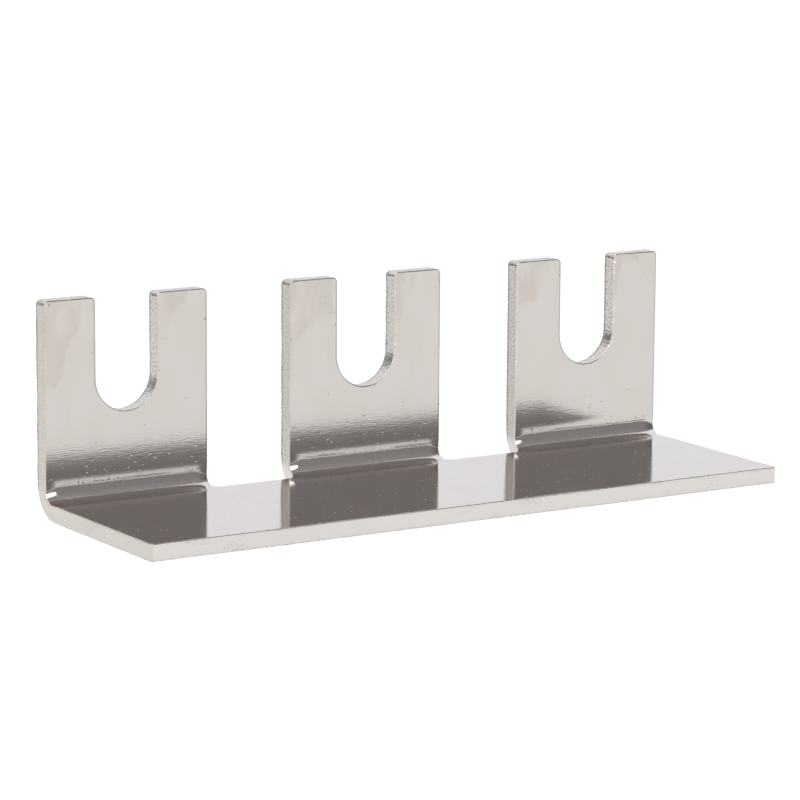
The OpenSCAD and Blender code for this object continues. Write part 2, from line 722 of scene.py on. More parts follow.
@dataclass
class Blank:
    """The flat blank, before it is folded.

    Attributes:
        comb: main sizes of the bar
        fold: the fold that it will get
        section: section of its sheared edges
        strip_corner_r: radius of the front corners of the strip
        prong_corner_r: radius of the corners at the tops of the prongs
        root_r: radius of the notch roots along the bar
        root_w: length of the notch roots across the blank
        edge_step: spacing of the points round the outline
        fold_step: spacing of the rows of points through the fold
        flat_step: spacing of the points on the flats
        row_parts: parts into which a row of the fold divides that spacing
        margin_parts: parts of that spacing, of which the rows reach one past the fold
        arc_steps: least number of steps round a corner
        round_digits: decimals of a millimetre to which points of the rows are told apart
    """

    comb: Comb
    fold: Fold
    section: ShearSection = ShearSection()
    strip_corner_r: float = 0.2 * MM
    prong_corner_r: float = 0.4 * MM
    root_r: float = 0.82 * MM
    root_w: float = 1.2 * MM
    edge_step: float = 0.12 * MM
    fold_step: float = 0.09 * MM
    flat_step: float = 1.2 * MM
    row_parts: int = 3
    margin_parts: int = 4
    arc_steps: int = 8
    round_digits: int = 3

    def corners(self) -> list[Corner]:
        """Lists the corners of the outline.

        Returns:
            The corners anticlockwise, from the front left one.
        """
        comb = self.comb
        end, front = comb.length / 2, -comb.depth / 2
        top, notch = self.fold.tab_w_at(comb.height), self.fold.notch_w
        slot_floor = self.fold.tab_w_at(comb.slot_z) - comb.slot_r
        strip_r, prong_r, slot_r = self.strip_corner_r, self.prong_corner_r, comb.slot_r
        found = [Corner(x, front, strip_r, strip_r) for x in (-end, end)]
        for middle in reversed(comb.middles):
            right, left = middle + comb.tab_w / 2, middle - comb.tab_w / 2
            slot_right, slot_left = middle + slot_r, middle - slot_r
            if middle != comb.middles[-1]:
                found.append(Corner(right, notch, self.root_r, self.root_w))
            found += [Corner(x, top, prong_r, prong_r) for x in (right, slot_right)]
            found += [Corner(x, slot_floor, slot_r, slot_r) for x in (slot_right, slot_left)]
            found += [Corner(x, top, prong_r, prong_r) for x in (slot_left, left)]
            if middle != comb.middles[0]:
                found.append(Corner(left, notch, self.root_r, self.root_w))
        return found

    def outline(self) -> Outline:
        """Samples the outline.

        Returns:
            The outline with its rounded corners.
        """
        corners = self.corners()
        points, inward = [], []
        for before, here, after in zip(corners[-1:] + corners[:-1], corners, corners[1:] + corners[:1]):
            come = np.sign(here.place - before.place)
            go = np.sign(after.place - here.place)
            start = here.place - come * here.radii
            last = before.place + come * before.radii
            run = float(np.abs(start - last).sum())
            steps = math.ceil(run / self.edge_step - TINY)
            for share in np.arange(steps) / max(steps, 1):
                points.append(last + (start - last) * share)
                inward.append((-come[1], come[0]))
            centre = start + go * here.radii
            size = QUARTER_TURN * float(here.radii.max())
            turns = max(self.arc_steps, math.ceil(size / self.edge_step))
            for angle in np.arange(turns) / turns * math.pi / 2:
                points.append(centre + (come * math.sin(angle) - go * math.cos(angle)) * here.radii)
                ahead = (come * math.cos(angle) + go * math.sin(angle)) * here.radii
                inward.append(np.array((-ahead[1], ahead[0])) / np.hypot(*ahead))
        points, inward = np.array(points), np.array(inward, float)
        lengths = np.hypot(*(np.roll(points, -1, 0) - points).T)
        return Outline(points, inward, np.concatenate(([0.0], np.cumsum(lengths)[:-1])))

    def pierced(self, flat: np.ndarray) -> np.ndarray:
        """Tells the walls of the screw slots from the outer walls.

        Args:
            flat: X and W of points on the walls

        Returns:
            1 in the slots, 0 elsewhere.
        """
        off = np.min([np.abs(flat[:, 0] - middle) for middle in self.comb.middles], axis=0)
        deep = self.fold.tab_w_at(self.comb.slot_z - self.comb.slot_r) - self.section.breakout
        return ((off < self.comb.slot_r + self.prong_corner_r) & (flat[:, 1] > deep)).astype(float)

    def places_x(self) -> np.ndarray:
        """Places the points along a row of the fold.

        Returns:
            Their X, close together near the tabs' sides and wider apart elsewhere.
        """
        half, places = self.comb.tab_w / 2, []
        fine = np.arange(0.0, self.fold.curl_reach, self.edge_step)
        coarse = np.arange(self.fold.curl_reach, half, self.flat_step / self.row_parts)
        offsets = np.concatenate((fine, coarse))
        for middle in self.comb.middles:
            for side in (-1, 1):
                places.extend(middle + side * (half - offsets))
                places.extend(middle + side * (half + coarse))
        return np.unique(np.round(np.array(places) / MM, self.round_digits)) * MM

    def inner_points(self, outline: Outline) -> tuple[np.ndarray, np.ndarray]:
        """Spreads points over the faces inside the outline.

        Args:
            outline: outline of the blank

        Returns:
            The points, and their distances from the nearest edge.
        """
        comb, fold = self.comb, self.fold
        margin = self.flat_step / self.margin_parts
        low, high = fold.start_w - margin, fold.end_w + margin
        rows = [(w, self.fold_step, self.places_x()) for w in np.arange(low, high, self.fold_step)]
        flat_x = np.arange(-comb.length / 2, comb.length / 2, self.flat_step)
        for start, end in ((-comb.depth / 2, low), (high, fold.tab_w_at(comb.height))):
            rows += [(w, self.flat_step, flat_x) for w in np.arange(start, end, self.flat_step)]
        tree = kdtree.KDTree(len(outline.points))
        for index, point in enumerate(outline.points):
            tree.insert((*point, 0.0), index)
        tree.balance()
        border = self.section.roll_w * (1 + self.section.swing) + self.section.land
        points, distances = [], []
        for w, step, xs in rows:
            for x in xs:
                nearest, index, distance = tree.find((x, w, 0.0))
                into_x, into_w = outline.inward[index]
                inside = (x - nearest.x) * into_x + (w - nearest.y) * into_w > 0
                if inside and distance > border + step / 2:
                    points.append((x, w))
                    distances.append(distance)
        return np.array(points), np.array(distances)

    @staticmethod
    def fill(loop: np.ndarray, inner: np.ndarray) -> list[tuple[int, ...]]:
        """Fills a loop with triangles.

        Args:
            loop: points of the loop, anticlockwise
            inner: points inside it

        Returns:
            Triangles of indices, the loop's points first.
        """
        places = [Vector(point / MM) for point in np.vstack((loop, inner))]
        ring = list(range(len(loop)))
        _, _, faces, origins, _, _ = delaunay_2d_cdt(places, [], [ring], INSIDE_ONLY, TINY)
        return [tuple(origins[corner][0] for corner in face) for face in faces]

    def faces(
        self, bands: list[Band], loops: list[np.ndarray], inner: np.ndarray
    ) -> tuple[list[tuple[int, ...]], list[bool]]:
        """Joins the rows of the sheared edge and fills both faces of the sheet.

        Args:
            bands: band that reaches from each row to the next
            loops: points of each row
            inner: points inside them, which both faces have

        Returns:
            The faces, and whether each is on the sheared edge.
        """
        count, total = len(loops[0]), len(loops) * len(loops[0])
        faces, sheared = [], []
        for level, band in enumerate(bands[:-1]):
            upper, lower = level * count, (level + 1) * count
            for here in range(count):
                after = (here + 1) % count
                faces.append((upper + here, lower + here, lower + after, upper + after))
            sheared.extend([band in (Band.BURNISH, Band.FRACTURE)] * count)
        inside = (loops[0], 0, total, 1)
        outside = (loops[-1], total - count, total + len(inner), -1)
        for loop, ring, spread, order in (inside, outside):
            numbers = [*range(ring, ring + count), *range(spread, spread + len(inner))]
            filled = self.fill(loop, inner)
            faces.extend(tuple(numbers[corner] for corner in face[::order]) for face in filled)
            sheared.extend([False] * len(filled))
        return faces, sheared

    def build(self) -> bpy.types.Object:
        """Makes the blank's mesh, with the marks that the finishes read.

        Returns:
            The blank.
        """
        thickness = self.fold.thickness
        outline = self.outline()
        rows = self.section.rows(outline, thickness)
        inner, distances = self.inner_points(outline)
        loops = [outline.inset(row.inset) for row in rows]
        flat = np.vstack((*loops, inner, inner))
        none = np.zeros(len(inner))
        height = np.concatenate([row.height for row in rows] + [none + thickness, none])
        distance = np.concatenate([row.inset for row in rows] + [distances, distances])
        sunk = height * (1 - self.fold.sink(distance, flat[:, 1]) / thickness)
        faces, sheared = self.faces([row.band for row in rows], loops, inner)
        mesh = bpy.data.meshes.new(NODE + "_plated")
        mesh.from_pydata(np.column_stack((flat, sunk)).tolist(), [], faces)
        marks = {
            Mark.ALONG: np.concatenate((np.tile(outline.along, len(rows)), none, none)) / MM,
            Mark.DEPTH: 1 - height / thickness,
            Mark.EDGE: distance / MM,
            Mark.FOLD: self.fold.worked(flat[:, 1]),
            Mark.PIERCED: self.pierced(flat),
            Mark.SIDE: np.concatenate((np.tile(outline.inward[:, 0], len(rows)), none, none)),
        }
        for mark, values in marks.items():
            attribute = mesh.attributes.new(mark.value, "FLOAT", "POINT")
            attribute.data.foreach_set("value", values.astype(np.float32))
        mesh.attributes.new(Mark.SHEARED.value, "BOOLEAN", "FACE").data.foreach_set("value", sheared)
        self.lay_map(mesh, flat)
        return put_in_scene(mesh)

    def lay_map(self, mesh: bpy.types.Mesh, flat: np.ndarray) -> None:
        """Lays the flat pattern as a UV map, with U across the rolling grain.

        Args:
            mesh: the blank's mesh
            flat: X and W of its points
        """
        corner = np.array((self.comb.length, self.comb.depth)) / 2
        place = (flat + corner)[:, ::-1] / self.comb.length
        owner = np.zeros(len(mesh.loops), np.int32)
        mesh.loops.foreach_get("vertex_index", owner)
        mesh.uv_layers.new(name=FLAT_MAP).uv.foreach_set("vector", place[owner].astype(np.float32).ravel())


@dataclass
class FoldTree:
    """Node tree that folds the flat blank, arc by arc.

    Attributes:
        fold: the fold
    """

    fold: Fold

    def arc_sizes(self, part: FoldPart) -> dict[str, float]:
        """Sizes that the tree takes for one arc.

        Args:
            part: part of the fold

        Returns:
            The sizes by name.
        """
        arc = self.fold.arcs[part]
        return {
            "start": self.fold.starts[part],
            "inside radius": arc.radius,
            "neutral radius": self.fold.neutral_r(arc),
            "turn": arc.turn,
        }

    def bend_group(self) -> bpy.types.NodeTree:
        """Makes the group that bends a sheet round one arc.

        Returns:
            The group.
        """
        tree = bpy.data.node_groups.new("Bend arc", "GeometryNodeTree")
        for name in ("along", "height", "thickness", *self.arc_sizes(FoldPart.MIDDLE)):
            tree.interface.new_socket(name, in_out="INPUT", socket_type="NodeSocketFloat")
        for name in ("along", "height"):
            tree.interface.new_socket(name, in_out="OUTPUT", socket_type="NodeSocketFloat")
        wiring = Wiring(tree)
        given = wiring.add("NodeGroupInput")
        ahead = given["along"] - given["start"]
        angle = (ahead / given["neutral radius"]).most(0.0).least(given["turn"])
        rest = ahead - given["neutral radius"] * angle
        axis = given["thickness"] + given["inside radius"]
        radius = axis - given["height"]
        sine, cosine = angle.math("SINE"), angle.math("COSINE")
        along = rest.math("MULTIPLY_ADD", cosine, radius.math("MULTIPLY_ADD", sine, given["start"]))
        height = rest.math("MULTIPLY_ADD", sine, axis - radius * cosine)
        wiring.add("NodeGroupOutput", {"along": along, "height": height})
        return tree

    def build(self) -> tuple[bpy.types.NodeTree, dict[str, str]]:
        """Makes the tree.

        Returns:
            The tree, and the identifiers of its inputs by name.
        """
        bend = self.bend_group()
        tree = bpy.data.node_groups.new("Fold sheet", "GeometryNodeTree")
        kinds = {"Blank": "Geometry", "Thickness": "Float"}
        kinds |= {"Plated face": "Material", "Sheared edge": "Material"}
        for part in FoldPart:
            kinds |= {f"{part.value} {size}": "Float" for size in self.arc_sizes(part)}
        sockets = {}
        for name, kind in kinds.items():
            socket = tree.interface.new_socket(name, in_out="INPUT", socket_type="NodeSocket" + kind)
            sockets[name] = socket.identifier
        tree.interface.new_socket("Bar", in_out="OUTPUT", socket_type="NodeSocketGeometry")
        wiring = Wiring(tree)
        given = wiring.add("NodeGroupInput")
        place = wiring.add("GeometryNodeInputPosition")[0].split()
        along, height = place["Y"], place["Z"]
        for part in reversed(FoldPart):
            sizes = {size: given[f"{part.value} {size}"] for size in self.arc_sizes(part)}
            sizes |= {"along": along, "height": height, "thickness": given["Thickness"]}
            bent = wiring.add("GeometryNodeGroup", sizes, node_tree=bend)
            along, height = bent["along"], bent["height"]
        folded = wiring.add("ShaderNodeCombineXYZ", {"X": place["X"], "Y": along, "Z": height})[0]
        bar = wiring.add("GeometryNodeSetPosition", {"Geometry": given["Blank"], "Position": folded})[0]
        bar = wiring.add("GeometryNodeRealizeInstances", {"Geometry": bar})[0]
        bar = wiring.add("GeometryNodeSetMaterial", {"Geometry": bar, "Material": given["Plated face"]})[0]
        name = {"Name": Mark.SHEARED.value}
        cut = wiring.add("GeometryNodeInputNamedAttribute", name, data_type="BOOLEAN")[0]
        edge = {"Geometry": bar, "Selection": cut, "Material": given["Sheared edge"]}
        wiring.add("NodeGroupOutput", {"Bar": wiring.add("GeometryNodeSetMaterial", edge)[0]})
        return tree, sockets

    def apply(
        self, piece: bpy.types.Object, plated: bpy.types.Material, sheared: bpy.types.Material
    ) -> None:
        """Folds a blank and leaves it a plain mesh.

        Args:
            piece: the blank
            plated: finish of the faces
            sheared: finish of the sheared edges
        """
        tree, sockets = self.build()
        modifier = piece.modifiers.new(tree.name, "NODES")
        modifier.node_group = tree
        values = {"Thickness": self.fold.thickness, "Plated face": plated, "Sheared edge": sheared}
        for part in FoldPart:
            values |= {f"{part.value} {size}": value for size, value in self.arc_sizes(part).items()}
        for name, value in values.items():
            modifier[sockets[name]] = value
        depsgraph = bpy.context.evaluated_depsgraph_get()
        folded = bpy.data.meshes.new_from_object(
            piece.evaluated_get(depsgraph), preserve_all_data_layers=True, depsgraph=depsgraph
        )
        piece.modifiers.clear()
        flat, piece.data = piece.data, folded
        bpy.data.meshes.remove(flat)


@dataclass(frozen=True)
class PlatedFace:
    """Bright nickel over rolled sheet: soft across the rolling grain, sharp along it.

    Lengths are millimetres. A place on the flat pattern is counted from the front of the strip and from
    the left end of the bar.

    Attributes:
        comb: main sizes of the bar
        fold: the fold
        nickel: colour of the plating
        rosy: colour of its faint clouds
        brown: colour of the painted reflection of a darker, warmer stretch of the floor, high on each prong
        olive: colour of the cooler places in that painted reflection
        copper: colour of the sheet where the plating is thin on the rolled corners
        dark_marks_and_shade: colour of the darker marks on the rolled corners, and of the painted shade
            along the edges that face right
        painted_highlight: colour of the painted highlight on the corners that face left and of the painted
            glints in the slots
        roughness: roughness of the plating
        worn_roughness: roughness of the rolled corners
        speck_roughness: roughness of a speck
        grain: share by which the grain draws out the reflections
        rosy_clouds: pattern of the faint clouds
        olive_clouds: pattern of the cooler places in the painted reflections
        reflection_clouds: pattern of the painted reflections' strength
        reflection_outline: pattern by which the painted reflections' outlines wander
        reflection_sizes: width and height of the painted reflections at the tops of a tab's left prong and
            of its right one
        reflection_swing: how far the painted reflections' outlines wander
        reflection_edge: width of the painted reflections' soft outlines
        reflection_fade: share of a painted reflection's height from which it fades out downwards
        reflection_least: strength of the painted reflections where they are weakest
        wear_span: distances from the edge between which the rolled corner ends, with its wear, its darker
            marks and its painted highlight
        ticks: pattern of the darkest marks on the rolled corners
        tick_least: share of that darker colour between those marks
        clean_span: distances from the tool's line between which the corners that the tool wiped clean turn
            dark
        shade: share of the painted shade all along the edges that face right
        shade_span: distances from the edge between which that painted shade and the painted glints in the
            slots end
        shade_from: how squarely an edge faces right before it gets that painted shade
        dots: pattern of the painted glints in the slots
        dot_patches: pattern of the places where those painted glints are
        dots_from: how squarely a slot's edge faces left before it gets them
        pierced_from: value of the slots' mark from which a point counts as a slot's own
        highlight_span: distances from the left end between which the painted highlight and glints come up
        highlight_least: share of the painted highlight on the corners that face left, outside the painted
            glints
        bare_patches: pattern of the copper on the corners
        bare_span: distances from the left end between which the copper gets rare
        bare_rest: share of the copper that is left from there on
        streaks: pattern of the rolling streaks
        streak_depth: depth of the streaks
        peel: pattern of the grain that stretching raises in the fold
        peel_depth: depth of that grain
        tool_w: half of the width of the folding tool's line
        tool_depth: depth of that line
        tool_touch: pattern by which the line comes and goes along the bar
        pits: pits round the tool's line
        nicks: nicks near the edges
        specks: rough specks, common up to the dark foot of the tabs
        speck_drag: share by which the specks are drawn out across the strip
    """

    comb: Comb
    fold: Fold
    nickel: Colour = (0.614, 0.578, 0.548)
    rosy: Colour = (0.604, 0.565, 0.532)
    # Colours of the painted reflection of a darker, warmer stretch of the floor on the prongs
    brown: Colour = (0.566, 0.520, 0.474)
    olive: Colour = (0.562, 0.530, 0.476)
    copper: Colour = (0.76, 0.60, 0.49)
    # Darker marks on the rolled corners, and painted shade along the edges that face right
    dark_marks_and_shade: Colour = (0.36, 0.335, 0.31)
    # Painted highlight on the corners that face left, and painted glints in the slots
    painted_highlight: Colour = (0.93, 0.91, 0.89)
    roughness: float = 0.07
    worn_roughness: float = 0.25
    speck_roughness: float = 0.45
    grain: float = 1.0
    rosy_clouds: Pattern = Pattern((5.0, 2.5), 3.0, limits=(0.42, 0.62))
    olive_clouds: Pattern = Pattern((5.0, 2.5), 3.0, (31.0, 17.0), (0.47, 0.58))
    reflection_clouds: Pattern = Pattern((5.0, 2.5), 3.0, limits=(0.4, 0.56))
    reflection_outline: Pattern = Pattern((5.0, 2.5), 3.0, (7.0, 43.0))
    reflection_sizes: tuple[Span, Span] = ((3.5, 8.5), (2.2, 4.5))
    reflection_swing: float = 6.0
    reflection_edge: float = 0.6
    reflection_fade: float = 0.7
    reflection_least: float = 0.25
    wear_span: Span = (0.03, 0.12)
    ticks: Pattern = Pattern((0.3, 0.3), 1.0, limits=(0.53, 0.68))
    tick_least: float = 0.15
    clean_span: Span = (2.0, 3.5)
    shade: float = 0.7
    shade_span: Span = (0.09, 0.18)
    shade_from: float = 0.8
    dots: Pattern = Pattern((0.3, 0.3), 1.0, limits=(0.48, 0.6))
    dot_patches: Pattern = Pattern((5 / 3, 5 / 3), 3.0, (5.0, 9.0), (0.42, 0.52))
    dots_from: float = 0.4
    pierced_from: float = 0.8
    highlight_span: Span = (16.0, 44.0)
    highlight_least: float = 0.35
    bare_patches: Pattern = Pattern((5 / 3, 5 / 3), 3.0, (5.0, 9.0), (0.5, 0.6))
    bare_span: Span = (1.5, 6.0)
    bare_rest: float = 0.1
    streaks: Pattern = Pattern((0.12, 0.9), 2.0)
    streak_depth: float = 0.0028
    peel: Pattern = Pattern((0.1, 0.1))
    peel_depth: float = 0.003
    tool_w: float = 0.07
    tool_depth: float = 0.002
    tool_touch: Pattern = Pattern((math.inf, 5.0), 1.0, limits=(0.42, 0.58))
    pits: Spots = Spots(0.4, 0.11, (1.8, 3.2), (0.68, 0.985), 0.055)
    nicks: Spots = Spots(0.4, 0.11, (0.0, 0.35), (0.85, 0.999), 0.4)
    specks: Spots = Spots(0.45, 0.09, (1.8, 3.2), (0.82, 0.975))
    speck_drag: float = 2.5

    @property
    def tool_place(self) -> float:
        """Place of the folding tool's line on the flat pattern."""
        return (self.fold.tool_w + self.comb.depth / 2) / MM

    @property
    def top_place(self) -> float:
        """Place of the tops of the tabs on the flat pattern."""
        return (self.fold.tab_w_at(self.comb.height) + self.comb.depth / 2) / MM

    def material(self) -> bpy.types.Material:
        """Makes the material.

        Returns:
            The finish of the faces.
        """
        material = bpy.data.materials.new("nickel_plated_face")
        wiring = Wiring.fresh(material)
        laid = wiring.add("ShaderNodeUVMap", uv_map=FLAT_MAP)[0]
        whole = (self.comb.length / MM,) * 3
        flat = wiring.add("ShaderNodeMapping", {"Vector": laid, "Scale": whole})[0]
        tangent = wiring.add("ShaderNodeTangent", direction_type="UV_MAP", uv_map=FLAT_MAP)[0]
        brushed = {"Anisotropic": self.grain, "Tangent": tangent}
        wiring.plate(self.colour(flat), self.dulness(flat), self.relief(flat), **brushed)
        return material

    def colour(self, flat: Signal) -> Signal:
        """Colour of the plating, with painted reflections on the prongs, painted shade and painted
        highlights at the edges, and its worn corners.

        Args:
            flat: place on the flat pattern

        Returns:
            The colour.
        """
        wiring, place = flat.wiring, flat.split()
        colour = wiring.tint(self.rosy_clouds.on(flat), self.nickel, self.rosy)
        # Painted reflection: the prongs' mirror image of a darker, warmer stretch of the floor, put into
        # the colour
        reflected_colour = wiring.tint(self.olive_clouds.on(flat), self.brown, self.olive)
        reflected_share = self.painted_reflections(flat) * self.reflection_clouds.on(flat, self.reflection_least)
        colour = wiring.tint(reflected_share, colour, reflected_colour)
        edge, side = wiring.mark(Mark.EDGE), wiring.mark(Mark.SIDE)
        corner, rim = edge.ease(*self.wear_span, 1.0, 0.0), edge.ease(*self.shade_span, 1.0, 0.0)
        left = side.most(0.0)
        # Darker marks on the rolled corners, kept off the edges that face left, which get the painted
        # highlight instead
        dark = corner * self.ticks.on(flat, self.tick_least)
        dark = dark * abs(place["X"] - self.tool_place).ease(*self.clean_span) * (1.0 - left)
        # Painted shade: a dark line along the edges that face right, away from the light
        dark = dark.most(rim * side.ease(-self.shade_from, -1.0, 0.0, self.shade))
        colour = wiring.tint(dark, colour, self.dark_marks_and_shade)
        # Painted glints: bright dots on the slots' edges that face left, and a painted highlight on all
        # corners that face left, where the light falls
        dots = self.dots.on(flat) * self.dot_patches.on(flat)
        dots = dots * wiring.mark(Mark.PIERCED).ease(self.pierced_from, 1.0)
        dots = dots * (rim * side.ease(self.dots_from, 1.0))
        bright = (corner * left * self.highlight_least).most(dots) * place["Y"].ease(*self.highlight_span)
        colour = wiring.tint(bright, colour, self.painted_highlight)
        bare = corner * self.bare_patches.on(flat) * place["Y"].ease(*self.bare_span, 1.0, self.bare_rest)
        return wiring.tint(bare, colour, self.copper)

    def painted_reflections(self, flat: Signal) -> Signal:
        """Painted reflection of a darker, warmer stretch of the floor on the prongs, widest at the top of
        each prong's left side.

        Args:
            flat: place on the flat pattern

        Returns:
            1 in the painted reflections and 0 elsewhere.
        """
        comb, place = self.comb, flat.split()
        swing = (self.reflection_outline.noise(flat) - NOISE_MEAN) * self.reflection_swing
        down = self.top_place - place["X"]
        on_tab = place["Y"].math("MODULO", (comb.middles[1] - comb.middles[0]) / MM)
        found = []
        for start, (width, height) in zip((0.0, comb.tab_w / 2 + comb.slot_r), self.reflection_sizes):
            off = on_tab - start / MM
            reach = down.ease(0.0, height, width, 0.0) + swing
            reflected_share = (reach - off).ease(0.0, self.reflection_edge) * down.ease(height, self.reflection_fade * height)
            found.append(reflected_share * off.math("GREATER_THAN", -self.wear_span[1]))
        return found[0].most(found[1])

    def dulness(self, flat: Signal) -> Signal:
        """Roughness of the plating, which is higher on the rolled corners and in its specks.

        Args:
            flat: place on the flat pattern

        Returns:
            The roughness.
        """
        edge, place = flat.wiring.mark(Mark.EDGE), flat.split()
        worn = edge.ease(0.0, self.wear_span[1], self.worn_roughness, self.roughness)
        on_tab = place["X"] - self.tool_place
        across = on_tab.most(0.0) + on_tab.least(0.0) / self.speck_drag
        speck, _ = self.specks.on(flat.wiring.place(across, place["Y"]), on_tab)
        return worn.most(speck * self.speck_roughness)

    def relief(self, flat: Signal) -> Signal:
        """Relief of the surface: rolling streaks, peel of the fold, the tool's line, pits and nicks.

        Args:
            flat: place on the flat pattern

        Returns:
            The height.
        """
        edge, fold = flat.wiring.mark(Mark.EDGE), flat.wiring.mark(Mark.FOLD)
        off_tool = abs(flat.split()["X"] - self.tool_place)
        height = self.streaks.noise(flat) * fold.ease(0.0, 1.0, self.streak_depth, 0.0)
        height = self.peel.noise(flat) * fold * self.peel_depth + height
        line = off_tool.ease(0.0, self.tool_w, -self.tool_depth, 0.0)
        height = line * self.tool_touch.on(flat) + height
        for spots, distance in ((self.pits, off_tool), (self.nicks, edge)):
            dent, radius = spots.on(flat, distance)
            height = height + dent * (radius * -spots.steep)
        return height


@dataclass(frozen=True)
class ShearedEdge:
    """Sheared edge under the plating: burnished with score lines, then broken out and dull.

    Sizes of patterns and depths are millimetres, along the edge and down it. Spans on the tabs and at the
    ends are counted in thicknesses of the sheet.

    Attributes:
        comb: main sizes of the bar
        thickness: thickness of the sheet
        nickel: colour of the plating on the edges of the strip
        tarnish: colour of the plating at the tops of the tabs
        wall: colour of the plating on the outer walls of the tabs
        slot_wall: colour of the plating in the slots
        end_wall: colour of the plating on the ends of the strip
        dull: colour of the broken-out band
        speckle: colour of the dark grain
        roughness: roughness of the burnished band
        wall_roughness: roughness of the outer walls of the tabs
        dull_roughness: roughness of the broken-out band
        tab_span: heights between which the edges of the strip turn into those of the tabs
        wall_span: distances from the tops between which the outer walls begin
        end_span: distances from the ends of the bar between which its end walls begin
        grain: pattern of the dark grain
        grain_share: share of that grain's colour where the walls are torn
        scuffs: pattern of the scuffs on the edges of the strip
        scuff_share: share of the dark grain's colour in the scuffs
        torn_from: heights between which the slots' walls turn torn, from the slot's middle, in its radii
        torn_to: heights between which they get cleaner again
        torn_rest: how torn they stay above that
        torn_tops: how torn all the walls are at the tops of the tabs
        torn_top_span: distances from the tops between which that ends
        torn_walls: how torn the outer walls of the tabs are, inside the bar and at its ends
        scores: pattern of the score lines
        score_depth: depth of the score lines on clean walls and on torn ones
        ragged: pattern of the grain of the broken-out band
        ragged_share: share by which that grain moves the start of the band
        ragged_depth: depth of that grain
        break_from: depth at which the band starts on the strip and on the tabs, in thicknesses
        break_soft: width of that start
    """

    comb: Comb
    thickness: float
    nickel: Colour = (0.67, 0.645, 0.61)
    tarnish: Colour = (0.54, 0.503, 0.456)
    wall: Colour = (0.72, 0.677, 0.617)
    slot_wall: Colour = (0.60, 0.572, 0.522)
    end_wall: Colour = (0.605, 0.574, 0.533)
    dull: Colour = (0.33, 0.31, 0.285)
    speckle: Colour = (0.22, 0.205, 0.19)
    roughness: float = 0.16
    wall_roughness: float = 0.5
    dull_roughness: float = 0.45
    tab_span: Span = (1.0, 2.0)
    wall_span: Span = (0.25, 0.5)
    end_span: Span = (0.25, 0.0)
    grain: Pattern = Pattern((0.13, 0.13), limits=(0.52, 0.68))
    grain_share: float = 0.6
    scuffs: Pattern = Pattern((4.0, 1.25), 1.0, (3.0, 0.0), (0.56, 0.66))
    scuff_share: float = 0.3
    torn_from: Span = (-0.75, -0.45)
    torn_to: Span = (0.0, 1.0)
    torn_rest: float = 0.3
    torn_tops: float = 0.7
    torn_top_span: Span = (0.25, 1.0)
    torn_walls: Span = (0.85, 0.5)
    scores: Pattern = Pattern((0.24, 0.3125), 2.0)
    score_depth: Span = (0.006, 0.06)
    ragged: Pattern = Pattern((0.15, 0.15), 2.0)
    ragged_share: float = 0.45
    ragged_depth: float = 0.02
    break_from: Span = (1.18, 1.02)
    break_soft: float = 0.08

    @staticmethod
    def spot(wiring: Wiring) -> Outputs:
        """Coordinates of a point of the edge in the bar's own frame."""
        return wiring.add("ShaderNodeTexCoord")["Object"].split()

    def on_tab(self, wiring: Wiring) -> Signal:
        """1 on the tabs and 0 on the strip."""
        return (self.spot(wiring)["Z"] / self.thickness).ease(*self.tab_span)

    def from_top(self, wiring: Wiring) -> Signal:
        """Distance from the tops of the tabs, in thicknesses."""
        return (self.comb.height - self.spot(wiring)["Z"]) / self.thickness

    def at_end(self, wiring: Wiring) -> Signal:
        """1 at the ends of the bar and 0 between them."""
        from_end = self.comb.length / 2 - abs(self.spot(wiring)["X"])
        return (from_end / self.thickness).ease(*self.end_span)

    def on_wall(self, wiring: Wiring) -> Signal:
        """1 on the outer walls of the tabs, below their tops."""
        outer = self.on_tab(wiring) * (1.0 - wiring.mark(Mark.PIERCED))
        return outer * self.from_top(wiring).ease(*self.wall_span)

    def torn(self, wiring: Wiring) -> Signal:
        """How torn the edge is, from 0 to 1.

        Args:
            wiring: the material's nodes

        Returns:
            The most of what the slots, the tops and the outer walls give.
        """
        rise = (self.spot(wiring)["Z"] - self.comb.slot_z) / self.comb.slot_r
        slots = wiring.mark(Mark.PIERCED) * rise.ease(*self.torn_from)
        slots = slots * rise.ease(*self.torn_to, 1.0, self.torn_rest)
        tops = self.from_top(wiring).ease(*self.torn_top_span, self.torn_tops, 0.0)
        walls = self.on_tab(wiring) * self.at_end(wiring).ease(0.0, 1.0, *self.torn_walls)
        return slots.most(tops).most(walls)

    def plating(self, place: Signal) -> Signal:
        """Colour of the plating on the different walls, with its dark grain.

        Args:
            place: place along the edge and down it

        Returns:
            The colour.
        """
        wiring = place.wiring
        colour = wiring.tint(self.at_end(wiring), self.nickel, self.end_wall)
        colour = wiring.tint(self.on_tab(wiring), colour, self.tarnish)
        colour = wiring.tint(wiring.mark(Mark.PIERCED), colour, self.slot_wall)
        colour = wiring.tint(self.on_wall(wiring), colour, self.wall)
        scuffs = self.scuffs.on(place, 0.0, self.scuff_share) * (1.0 - self.on_tab(wiring))
        patchy = scuffs.most(self.torn(wiring) * self.grain_share)
        return wiring.tint(self.grain.on(place) * patchy, colour, self.speckle)

    def material(self) -> bpy.types.Material:
        """Makes the material.

        Returns:
            The finish of the sheared edges.
        """
        material = bpy.data.materials.new("sheared_edge")
        wiring = Wiring.fresh(material)
        depth = wiring.mark(Mark.DEPTH)
        place = wiring.place(wiring.mark(Mark.ALONG), depth * (self.thickness / MM))
        ragged = self.ragged.noise(place)
        start = self.on_tab(wiring).ease(0.0, 1.0, *self.break_from)
        broken = (ragged * self.ragged_share + depth - start).ease(0.0, self.break_soft)
        scored = self.scores.noise(place) * self.torn(wiring).ease(0.0, 1.0, *self.score_depth)
        height = scored + ragged * self.ragged_depth * broken
        matt = broken.ease(0.0, 1.0, self.roughness, self.dull_roughness)
        matt = matt.most(self.on_wall(wiring) * self.wall_roughness)
        wiring.plate(wiring.tint(broken, self.plating(place), self.dull), matt, height)
        return material


